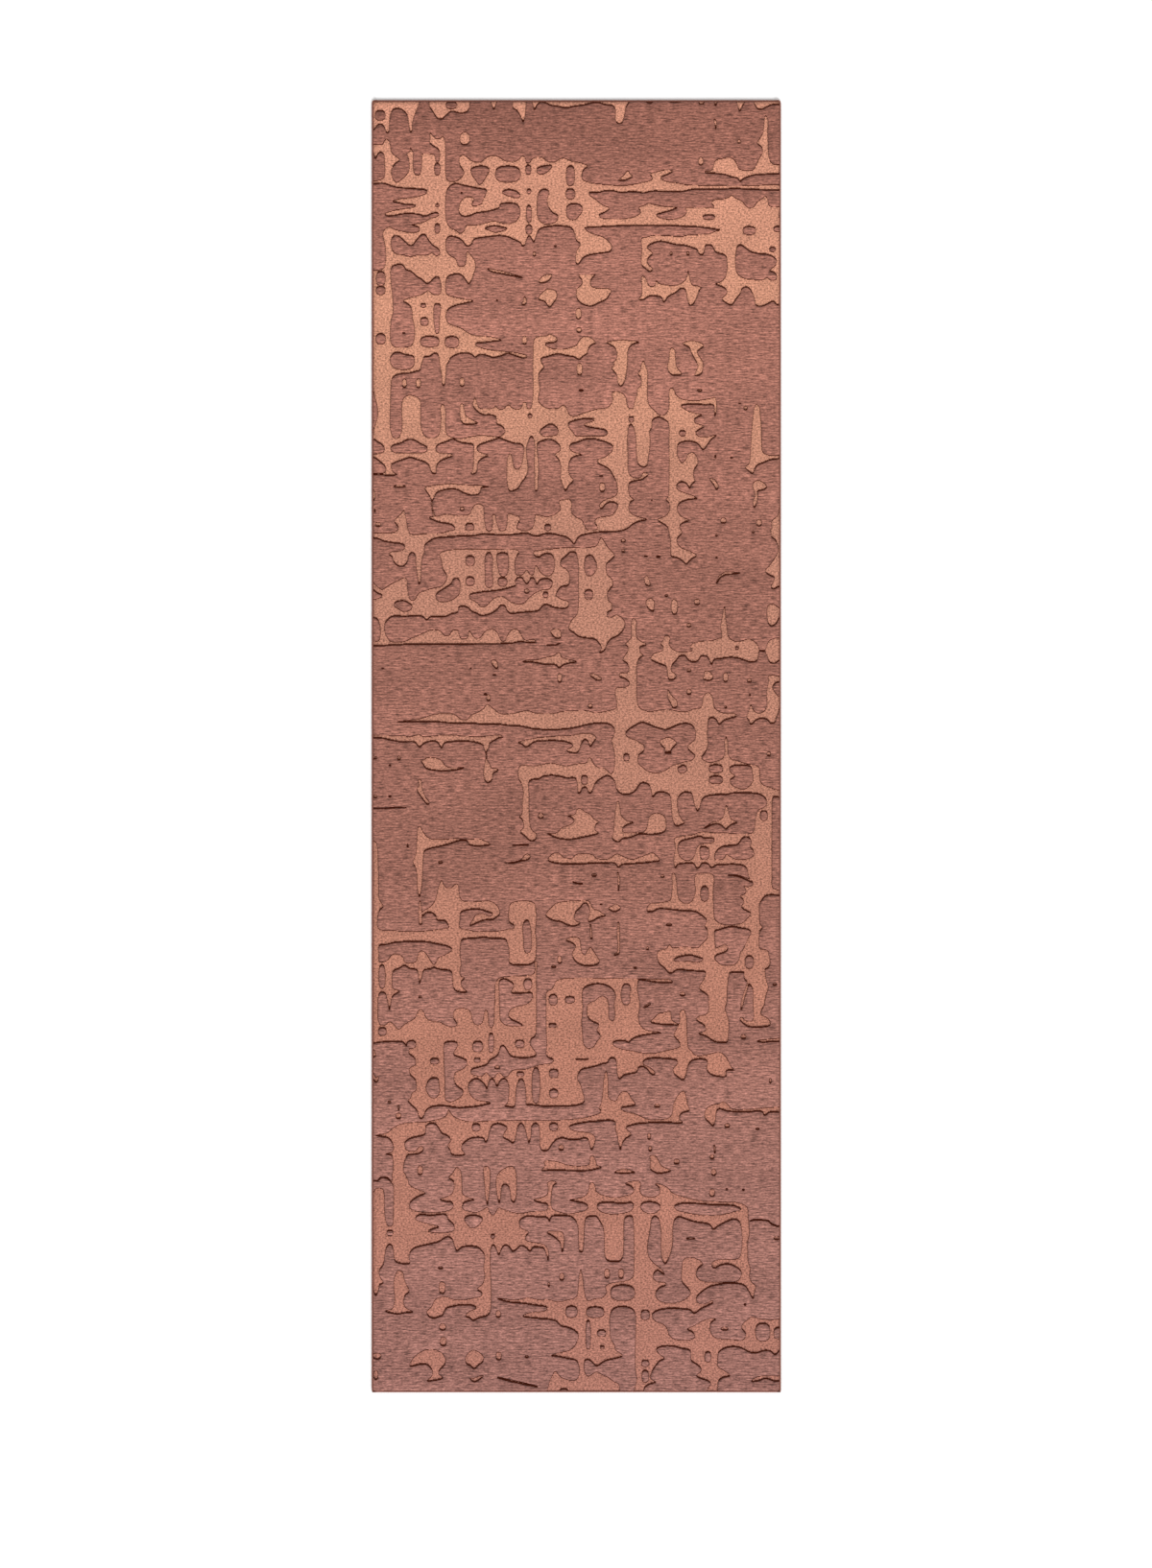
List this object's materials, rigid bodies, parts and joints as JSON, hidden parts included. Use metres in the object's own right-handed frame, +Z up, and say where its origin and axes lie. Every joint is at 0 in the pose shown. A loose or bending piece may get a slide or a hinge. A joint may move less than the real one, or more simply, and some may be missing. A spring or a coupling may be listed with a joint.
{
  "type": "runner rug",
  "caption": "Flat rectangular runner rug: raised chenille figure on a flat-woven ground, felt backing and an overlocked edge.",
  "frame": {"origin": "middle of the underside, on the floor", "axes": "+Z up out of the raised face; +Y along the length towards the head end, which is the end with the rounder corners; +X across the width, to the right when seen from above with the head end up"},
  "size_m": [0.76, 2.4, 0.0077],
  "materials": {
    "chenille": "raised mauve-rose chenille yarn with fine streaks across the width",
    "ground_cloth": "flat salmon weave with a fine grain",
    "outline_yarn": "thin dark-brown yarn float",
    "overlock_yarn": "dull maroon overlock yarn",
    "sewing_thread": "thin maroon sewing thread",
    "felt": "pale needled felt",
    "latex": "thin cream latex coat, hidden between the cloths",
    "label_satin": "blank off-white satin tape"
  },
  "bodies": {
    "root": {"backing_cloth": "felt", "care_label": "label_satin", "corner_tack_foot_left": "sewing_thread", "corner_tack_foot_right": "sewing_thread", "corner_tack_head_left": "sewing_thread", "corner_tack_head_right": "sewing_thread", "ground_weave": "ground_cloth", "label_seam_left": "sewing_thread", "label_seam_right": "sewing_thread", "latex_coat": "latex", "needle_thread_foot": "sewing_thread", "needle_thread_head": "sewing_thread", "needle_thread_left": "sewing_thread", "needle_thread_right": "sewing_thread", "outline_float_01": "outline_yarn", "outline_float_02": "outline_yarn", "outline_float_03": "outline_yarn", "outline_float_04": "outline_yarn", "outline_float_05": "outline_yarn", "outline_float_06": "outline_yarn", "outline_float_07": "outline_yarn", "outline_float_08": "outline_yarn", "outline_float_09": "outline_yarn", "outline_float_10": "outline_yarn", "outline_float_11": "outline_yarn", "outline_float_12": "outline_yarn", "outline_float_13": "outline_yarn", "outline_float_14": "outline_yarn", "outline_float_15": "outline_yarn", "overlock_foot": "overlock_yarn", "overlock_head": "overlock_yarn", "overlock_left": "overlock_yarn", "overlock_right": "overlock_yarn", "pile_field": "chenille", "pile_island_01": "chenille", "pile_island_02": "chenille", "pile_island_03": "chenille", "pile_island_04": "chenille", "pile_island_05": "chenille", "pile_island_06": "chenille", "pile_island_07": "chenille", "pile_island_08": "chenille", "pile_island_09": "chenille", "pile_island_10": "chenille", "pile_island_11": "chenille", "pile_island_12": "chenille", "pile_island_13": "chenille", "pile_island_14": "chenille", "pile_island_15": "chenille", "pile_island_16": "chenille", "pile_island_17": "chenille"}
  },
  "joints": []
}
